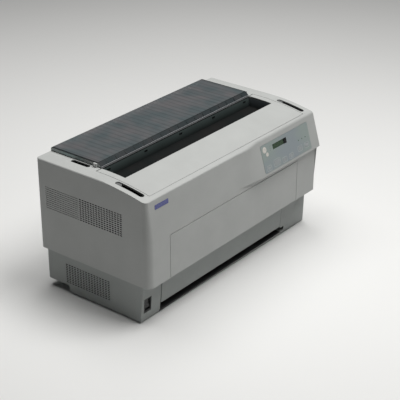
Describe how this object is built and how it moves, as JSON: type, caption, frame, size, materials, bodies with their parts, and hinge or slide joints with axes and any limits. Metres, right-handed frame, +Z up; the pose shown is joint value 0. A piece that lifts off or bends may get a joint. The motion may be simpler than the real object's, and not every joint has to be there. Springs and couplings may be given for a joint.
{
  "type": "dot matrix printer",
  "caption": "Wide-carriage dot matrix printer with hinged smoke covers, front and rear tractor doors, moving print head and sloped control panel.",
  "frame": {"origin": "on the table under the middle of the overall box", "axes": "+X to the right as seen by the user, +Y to the rear, +Z up"},
  "size_m": [0.7, 0.382, 0.363],
  "materials": {
    "case_plastic": "fine grained moulded light grey",
    "base_plastic": "fine grained moulded grey",
    "smoke_window": "dark smoke tinted, glossy",
    "smoke_cover": "smoke tinted, semi gloss",
    "overlay_film": "satin membrane",
    "display": "dark green liquid crystal",
    "key_plastic": "satin",
    "lamp_plastic": "clear green",
    "black_plastic": "moulded black",
    "gear_plastic": "natural acetal",
    "knob_plastic": "moulded blue",
    "tractor_plastic": "dark grey moulded",
    "sheet_steel": "zinc plated",
    "shaft_steel": "ground",
    "platen_rubber": "ground rubber",
    "foot_rubber": "rubber",
    "belt_rubber": "toothed belt",
    "head_casting": "black anodised casting",
    "motor_case": "painted",
    "pinion_brass": "machined",
    "board_laminate": "solder resist"
  },
  "bodies": {
    "case": {"lower_case": "base_plastic", "lower_front_panel": "base_plastic", "upper_case": "case_plastic", "deck_rails": "case_plastic", "control_panel_housing": "case_plastic", "panel_overlay": "overlay_film", "display_module": "display", "indicator_lamps": "lamp_plastic", "side_grille_left": "case_plastic", "side_grille_right": "case_plastic", "base_grille_left": "base_plastic", "base_grille_right": "base_plastic", "switch_housing": "black_plastic", "feet": "foot_rubber", "chassis_pan": "sheet_steel", "left_frame": "sheet_steel", "right_frame": "sheet_steel", "feed_motor": "motor_case", "guide_rods": "shaft_steel", "ribbon_cartridge": "black_plastic", "carriage_belt": "belt_rubber", "carriage_motor": "motor_case", "feed_belts": "belt_rubber", "exit_guide": "black_plastic", "power_supply": "sheet_steel", "main_board": "board_laminate", "fan_frame": "black_plastic"},
    "printer_cover": {"printer_cover": "case_plastic", "cover_window": "smoke_window"},
    "exit_cover": {"paper_exit_cover": "smoke_cover"},
    "front_door": {"front_door": "case_plastic"},
    "rear_door": {"rear_door": "case_plastic"},
    "rocker": {"switch_rocker": "black_plastic"},
    "platen": {"platen": "platen_rubber", "platen_drive": "gear_plastic"},
    "feed_pinion": {"feed_pinion": "pinion_brass"},
    "idler_gear": {"idler_gear": "gear_plastic"},
    "exit_roller": {"exit_roller": "black_plastic"},
    "carriage": {"carriage": "black_plastic", "print_head": "head_casting"},
    "ribbon_knob": {"ribbon_knob": "knob_plastic"},
    "drive_pulley": {"drive_pulley": "shaft_steel"},
    "tension_pulley": {"tension_pulley": "shaft_steel"},
    "front_drive": {"front_drive_shaft": "shaft_steel"},
    "rear_drive": {"rear_drive_shaft": "shaft_steel"},
    "fan": {"fan_rotor": "black_plastic"},
    "key_1": {"key_1": "key_plastic"},
    "key_2": {"key_2": "key_plastic"},
    "key_3": {"key_3": "key_plastic"},
    "key_4": {"key_4": "key_plastic"},
    "key_5": {"key_5": "key_plastic"},
    "key_6": {"key_6": "key_plastic"},
    "front_tractor_left": {"front_tractor_left": "tractor_plastic"},
    "front_lid_left": {"front_lid_left": "tractor_plastic"},
    "front_tractor_right": {"front_tractor_right": "tractor_plastic"},
    "front_lid_right": {"front_lid_right": "tractor_plastic"},
    "rear_tractor_left": {"rear_tractor_left": "tractor_plastic"},
    "rear_lid_left": {"rear_lid_left": "tractor_plastic"},
    "rear_tractor_right": {"rear_tractor_right": "tractor_plastic"},
    "rear_lid_right": {"rear_lid_right": "tractor_plastic"}
  },
  "joints": [
    {"name": "printer_cover_hinge", "type": "hinge", "parent": "case", "child": "printer_cover", "pos_m": [0, 0.008, 0.348], "axis": [-1, 0, 0], "range_deg": [0, 70]},
    {"name": "exit_cover_hinge", "type": "hinge", "parent": "case", "child": "exit_cover", "pos_m": [0, 0.028, 0.3575], "axis": [1, 0, 0], "range_deg": [0, 75]},
    {"name": "front_door_hinge", "type": "hinge", "parent": "case", "child": "front_door", "pos_m": [0, -0.1735, 0.112], "axis": [1, 0, 0], "range_deg": [0, 88]},
    {"name": "rear_door_hinge", "type": "hinge", "parent": "case", "child": "rear_door", "pos_m": [0, 0.1745, 0.112], "axis": [-1, 0, 0], "range_deg": [0, 85]},
    {"name": "key_1_press", "type": "slide", "parent": "case", "child": "key_1", "axis": [0, 0.9594, -0.2821], "range_m": [0, 0.0005], "stiffness_N_per_m": 300},
    {"name": "key_2_press", "type": "slide", "parent": "case", "child": "key_2", "axis": [0, 0.9594, -0.2821], "range_m": [0, 0.0005], "stiffness_N_per_m": 300},
    {"name": "key_3_press", "type": "slide", "parent": "case", "child": "key_3", "axis": [0, 0.9594, -0.2821], "range_m": [0, 0.0005], "stiffness_N_per_m": 300},
    {"name": "key_4_press", "type": "slide", "parent": "case", "child": "key_4", "axis": [0, 0.9594, -0.2821], "range_m": [0, 0.0005], "stiffness_N_per_m": 300},
    {"name": "key_5_press", "type": "slide", "parent": "case", "child": "key_5", "axis": [0, 0.9594, -0.2821], "range_m": [0, 0.0005], "stiffness_N_per_m": 300},
    {"name": "key_6_press", "type": "slide", "parent": "case", "child": "key_6", "axis": [0, 0.9594, -0.2821], "range_m": [0, 0.0005], "stiffness_N_per_m": 300},
    {"name": "power_switch", "type": "hinge", "parent": "case", "child": "rocker", "pos_m": [0, -0.13836, 0.04657], "axis": [1, 0, 0], "range_deg": [0, 16]},
    {"name": "platen_spin", "type": "hinge", "parent": "case", "child": "platen", "pos_m": [0, -0.002, 0.262], "axis": [1, 0, 0], "continuous": true},
    {"name": "feed_pinion_spin", "type": "hinge", "parent": "case", "child": "feed_pinion", "pos_m": [0, 0.0155, 0.23169], "axis": [1, 0, 0], "continuous": true},
    {"name": "idler_spin", "type": "hinge", "parent": "case", "child": "idler_gear", "pos_m": [0, 0.0205, 0.28881], "axis": [1, 0, 0], "continuous": true},
    {"name": "exit_roller_spin", "type": "hinge", "parent": "case", "child": "exit_roller", "pos_m": [0, 0.04164, 0.29651], "axis": [1, 0, 0], "continuous": true},
    {"name": "front_drive_spin", "type": "hinge", "parent": "case", "child": "front_drive", "pos_m": [0, -0.13, 0.165], "axis": [1, 0, 0], "continuous": true},
    {"name": "rear_drive_spin", "type": "hinge", "parent": "case", "child": "rear_drive", "pos_m": [0, 0.13, 0.165], "axis": [1, 0, 0], "continuous": true},
    {"name": "carriage_slide", "type": "slide", "parent": "case", "child": "carriage", "axis": [1, 0, 0], "range_m": [-0.025, 0.425]},
    {"name": "drive_pulley_spin", "type": "hinge", "parent": "case", "child": "drive_pulley", "pos_m": [-0.282, -0.078, 0], "axis": [0, 0, 1], "range_deg": [-3000, 3000]},
    {"name": "tension_pulley_spin", "type": "hinge", "parent": "case", "child": "tension_pulley", "pos_m": [0.282, -0.078, 0], "axis": [0, 0, 1], "range_deg": [-3000, 3000]},
    {"name": "ribbon_knob_turn", "type": "hinge", "parent": "case", "child": "ribbon_knob", "pos_m": [-0.185, -0.114, 0], "axis": [0, 0, 1], "continuous": true},
    {"name": "fan_spin", "type": "hinge", "parent": "case", "child": "fan", "pos_m": [0, -0.03, 0.2535], "axis": [1, 0, 0], "continuous": true},
    {"name": "front_tractor_left_slide", "type": "slide", "parent": "case", "child": "front_tractor_left", "axis": [1, 0, 0], "range_m": [0, 0.13]},
    {"name": "front_lid_left_hinge", "type": "hinge", "parent": "front_tractor_left", "child": "front_lid_left", "pos_m": [-0.243, -0.1445, 0], "axis": [0, 0, -1], "range_deg": [0, 95]},
    {"name": "front_tractor_right_slide", "type": "slide", "parent": "case", "child": "front_tractor_right", "axis": [-1, 0, 0], "range_m": [0, 0.13]},
    {"name": "front_lid_right_hinge", "type": "hinge", "parent": "front_tractor_right", "child": "front_lid_right", "pos_m": [0.243, -0.1445, 0], "axis": [0, 0, 1], "range_deg": [0, 95]},
    {"name": "rear_tractor_left_slide", "type": "slide", "parent": "case", "child": "rear_tractor_left", "axis": [1, 0, 0], "range_m": [0, 0.13]},
    {"name": "rear_lid_left_hinge", "type": "hinge", "parent": "rear_tractor_left", "child": "rear_lid_left", "pos_m": [-0.243, 0.1445, 0], "axis": [0, 0, 1], "range_deg": [0, 95]},
    {"name": "rear_tractor_right_slide", "type": "slide", "parent": "case", "child": "rear_tractor_right", "axis": [-1, 0, 0], "range_m": [0, 0.13]},
    {"name": "rear_lid_right_hinge", "type": "hinge", "parent": "rear_tractor_right", "child": "rear_lid_right", "pos_m": [0.243, 0.1445, 0], "axis": [0, 0, -1], "range_deg": [0, 95]}
  ],
  "couplings": [
    {"joint": "feed_pinion_spin", "follows": "platen_spin", "ratio": -2.5},
    {"joint": "idler_spin", "follows": "platen_spin", "ratio": -2.5},
    {"joint": "exit_roller_spin", "follows": "platen_spin", "ratio": 2},
    {"joint": "front_drive_spin", "follows": "platen_spin", "ratio": 1},
    {"joint": "rear_drive_spin", "follows": "platen_spin", "ratio": 1},
    {"joint": "drive_pulley_spin", "follows": "carriage_slide", "rad_per_m": 111.11},
    {"joint": "tension_pulley_spin", "follows": "carriage_slide", "rad_per_m": 111.11}
  ]
}
